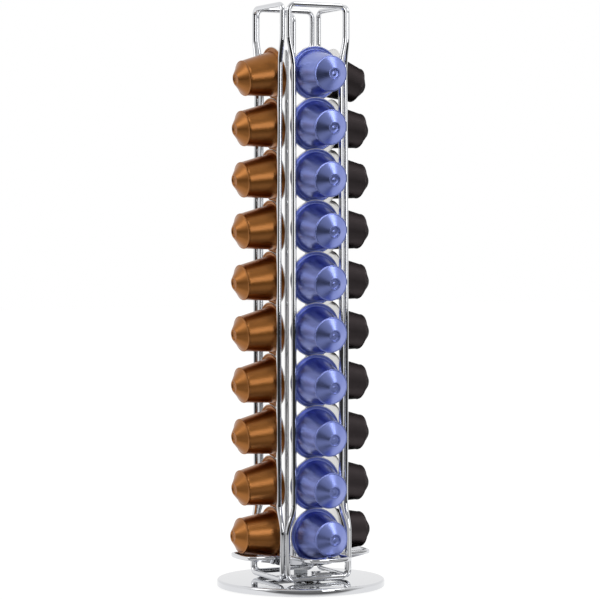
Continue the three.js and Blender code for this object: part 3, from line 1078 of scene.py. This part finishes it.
@dataclass
class Studio:
    """A pale floor that shows a painted reflection in metal, a white surround that is dark behind the camera,
    soft boxes and the camera.
    """

    view_azimuth: float = math.radians(-26.8)
    distance_m: float = 1.678
    eye_height_m: float = 0.2373
    scale_px_per_mm: float = 1.469
    sensor_mm: float = 36.0
    horizon_px: float = 237.0
    axis_px: float = 300.75
    clip_start_m: float = 0.05
    floor_size_m: float = 12.0
    floor_colour: str = "#F4F4F2"
    floor_glow: float = 1.1
    floor_glow_share: float = 0.8       # of the floor as the camera sees it; the rest takes the shadow
    back_level: float = 0.92
    front_level: float = 0.45
    front_start: float = -0.1   # cosines between which the surround goes from one level to the other
    front_full: float = 0.6
    patch_level: float = 0.03
    patch_azimuth: float = math.radians(10.0)
    patch_start: float = 0.66   # cosine of the angle to the middle of the dark patch
    patch_full: float = 0.78
    band_foot: float = -0.4     # sines of the heights between which the patch fades in and out
    band_low: float = -0.2
    band_high: float = 0.2
    band_head: float = 0.36
    painted_reflection_levels: tuple[tuple[float, float], ...] = (
        (0.061, 1.0), (0.073, 0.14), (0.095, 0.14), (0.15, 0.58), (0.3, 0.58), (0.55, 0.03),
    )   # metres in front of the axis, and the painted brightness that the floor glows with there for metal to reflect: a painted reflection
    aim_height_m: float = 0.2
    boxes: tuple[SoftBox, ...] = (
        SoftBox("key_lamp", 38.0, 0.42, 1.2, 0.36, 0.55, 2.3),
        SoftBox("fill_lamp", -62.0, 1.0, 1.4, 0.7, 0.7, 3.0),
        SoftBox("top_lamp", 68.0, 1.5, 1.0, 0.6, 0.6, 4.0),
    )

    def build(self) -> None:
        """Makes everything around the tower."""
        self.camera()
        self.surround()
        self.floor()
        self.lamps()
        bpy.context.scene.view_settings.view_transform = "Standard"

    def camera(self) -> None:
        """Puts the camera where the photograph was taken from."""
        data = bpy.data.cameras.new("view_camera")
        focal_px = self.scale_px_per_mm * self.distance_m / MM
        data.sensor_width = self.sensor_mm
        data.lens = focal_px * self.sensor_mm / IMAGE_PIXELS
        data.shift_y = (self.horizon_px - IMAGE_PIXELS / 2) / IMAGE_PIXELS
        data.shift_x = (IMAGE_PIXELS / 2 - self.axis_px) / IMAGE_PIXELS
        data.clip_start = self.clip_start_m
        camera = add_object("view_camera", data)
        camera.location = self.beside(0.0) * self.distance_m + Vector((0, 0, self.eye_height_m))
        camera.rotation_euler = (math.pi / 2, 0.0, self.view_azimuth)
        bpy.context.scene.camera = camera

    def beside(self, angle: float) -> Vector:
        """The level direction that lies an angle to the right of the camera's, seen from the tower."""
        azimuth = self.view_azimuth + angle
        return Vector((math.sin(azimuth), -math.cos(azimuth), 0.0))

    def toward_patch(self, tree: NodeTree, way: NodeSocket) -> NodeSocket:
        """How far a direction or a place reaches towards the middle of the dark patch."""
        node = add_node(
            tree, "VectorMath", operation="DOT_PRODUCT", links={0: way},
            values={1: self.beside(self.patch_azimuth)},
        )
        return node.outputs["Value"]

    def surround(self) -> None:
        """A white surround that is dark round the camera, as a studio is behind its lamps.

        The dark patch keeps its place in the room, so it slides over the metal as the tower turns.
        """
        world = bpy.data.worlds.new("white_surround")
        tree = empty_tree(world)
        way = add_node(tree, "TexCoord").outputs["Generated"]
        turn = self.toward_patch(tree, way)
        rise = add_node(tree, "SeparateXYZ", links={"Vector": way}).outputs["Z"]

        def ease(value: NodeSocket, start: float, end: float, first: float, last: float) -> NodeSocket:
            """Lets a value between start and end give a smooth change from first to last."""
            node = add_node(
                tree, "MapRange", interpolation_type="SMOOTHSTEP", links={"Value": value},
                values={"From Min": start, "From Max": end, "To Min": first, "To Max": last},
            )
            return node.outputs["Result"]

        def times(first: NodeSocket, second: NodeSocket) -> NodeSocket:
            """The product of two values."""
            node = add_node(tree, "Math", {0: first, 1: second}, operation="MULTIPLY")
            return node.outputs["Value"]

        front = ease(turn, self.front_start, self.front_full, self.back_level, self.front_level)
        cut = ease(turn, self.patch_start, self.patch_full, 0.0, 1.0)
        below = ease(rise, self.band_foot, self.band_low, 0.0, 1.0)
        above = ease(rise, self.band_high, self.band_head, 1.0, 0.0)
        patch = times(cut, times(below, above))
        seen = add_node(
            tree, "Mix", data_type="FLOAT", links={0: patch, 2: front}, values={3: self.patch_level},
        )
        rays = add_node(tree, "LightPath")
        strength = add_node(
            tree, "Mix", data_type="FLOAT",
            links={0: rays.outputs["Is Camera Ray"], 2: seen.outputs[0]}, values={3: 1.0},
        )
        light = add_node(
            tree, "Background", links={"Strength": strength.outputs[0]}, values={"Color": linear(WHITE)},
        )
        add_node(tree, "OutputWorld", links={"Surface": light.outputs["Background"]})
        bpy.context.scene.world = world

    def floor(self) -> None:
        """A pale seamless floor that keeps a light shadow and looks white to the camera. In metal it glows
        instead with painted levels of brightness that depend on its distance in front of the axis, as a
        painted reflection.
        """
        paper = bpy.data.materials.new("seamless_paper")
        tree = empty_tree(paper)
        matt = add_node(tree, "BsdfDiffuse", values={"Color": linear(self.floor_colour)})
        glow = add_node(tree, "Emission", values={"Color": linear(WHITE), "Strength": self.floor_glow})
        ahead = self.toward_patch(tree, add_node(tree, "TexCoord").outputs["Object"])
        # Painted reflection: for glossy rays the floor glows at these painted levels, not by lamp light.
        painted_reflection_ramp = add_node(tree, "ValToRGB", links={"Fac": ahead})
        stops = painted_reflection_ramp.color_ramp.elements
        while len(stops) < len(self.painted_reflection_levels):
            stops.new(1.0)
        for stop, (distance, level) in zip(stops, self.painted_reflection_levels):
            stop.position = distance
            stop.color = (level, level, level, 1.0)
        painted_reflection_glow = add_node(tree, "Emission", links={"Color": painted_reflection_ramp.outputs["Color"]})
        rays = add_node(tree, "LightPath")
        share = add_node(
            tree, "Math", operation="MULTIPLY",
            links={0: rays.outputs["Is Camera Ray"]}, values={1: self.floor_glow_share},
        )
        pale = add_node(
            tree, "MixShader",
            links={0: share.outputs["Value"], 1: matt.outputs["BSDF"], 2: glow.outputs["Emission"]},
        )
        blend = add_node(
            tree, "MixShader",
            links={0: rays.outputs["Is Glossy Ray"], 1: pale.outputs["Shader"], 2: painted_reflection_glow.outputs["Emission"]},
        )
        add_node(tree, "OutputMaterial", links={"Surface": blend.outputs["Shader"]})
        half = self.floor_size_m / 2
        mesh = bpy.data.meshes.new("floor")
        mesh.from_pydata([(-half, -half, 0), (half, -half, 0), (half, half, 0), (-half, half, 0)], [],
                         [(0, 1, 2, 3)])
        mesh.materials.append(paper)
        add_object("floor", mesh)

    def lamps(self) -> None:
        """Hangs the soft boxes: a low key and a high one at the right, and a fill from the left."""
        for box in self.boxes:
            data = bpy.data.lights.new(box.name, "AREA")
            data.shape = "RECTANGLE"
            data.size = box.width_m
            data.size_y = box.length_m
            data.energy = box.power_w
            lamp = add_object(box.name, data)
            level = self.beside(math.radians(box.azimuth_degrees)) * box.distance_m
            lamp.location = level + Vector((0, 0, box.height_m))
            aim = Vector((0, 0, self.aim_height_m)) - lamp.location
            lamp.rotation_euler = aim.to_track_quat("-Z", "Y").to_euler()


def main() -> None:
    """Builds the studio and the tower."""
    logging.basicConfig(level=logging.INFO, format="%(name)s: %(message)s")
    Studio().build()
    chrome = PolishedChrome().build()
    steel = ZincPlatedSteel().build()
    foil = EmbossedFoil().build()
    nylon = MouldedPolymer(
        "moulded_nylon", "#ECEAE2", "#DDD9CC", roughness=0.48, grain_mm=1.2, relief=0.1
    ).build()
    rubber = MouldedPolymer(
        "vulcanised_rubber", "#232324", "#171718", roughness=0.82, grain_mm=0.6, relief=0.3
    ).build()
    coats = {
        Face.FRONT: LacqueredAluminium("blue_lacquer", "#929EDE", "#7A88D0").build(),
        Face.RIGHT: LacqueredAluminium(
            "charcoal_lacquer", "#484243", "#3E3839", edge="#6A6464", roughness=0.42, coat=0.06
        ).build(),
        Face.LEFT: LacqueredAluminium("copper_lacquer", "#AC7036", "#925B28").build(),
    }
    slots = {Face.FRONT: "capsule_blue", Face.RIGHT: "capsule_black", Face.LEFT: "capsule_copper"}
    leans = {Face.FRONT: 4.0, Face.RIGHT: 17.0, Face.LEFT: 9.0}
    top_leans = {face: math.radians(degrees) for face, degrees in leans.items()}
    column = Column()
    Base(chrome, steel, nylon, rubber).build()
    CapsuleTray(column, chrome).build()
    frames = RailFrames(column, chrome)
    guides = GuideWires(column, chrome)
    capsules = Capsules(column, foil, coats, slots, top_leans)
    for face in Face:
        frames.build(face)
        guides.build(face)
    for face in slots:
        for number in range(1, column.count + 1):
            capsules.build(face, number)


if __name__ == "__main__":
    main()
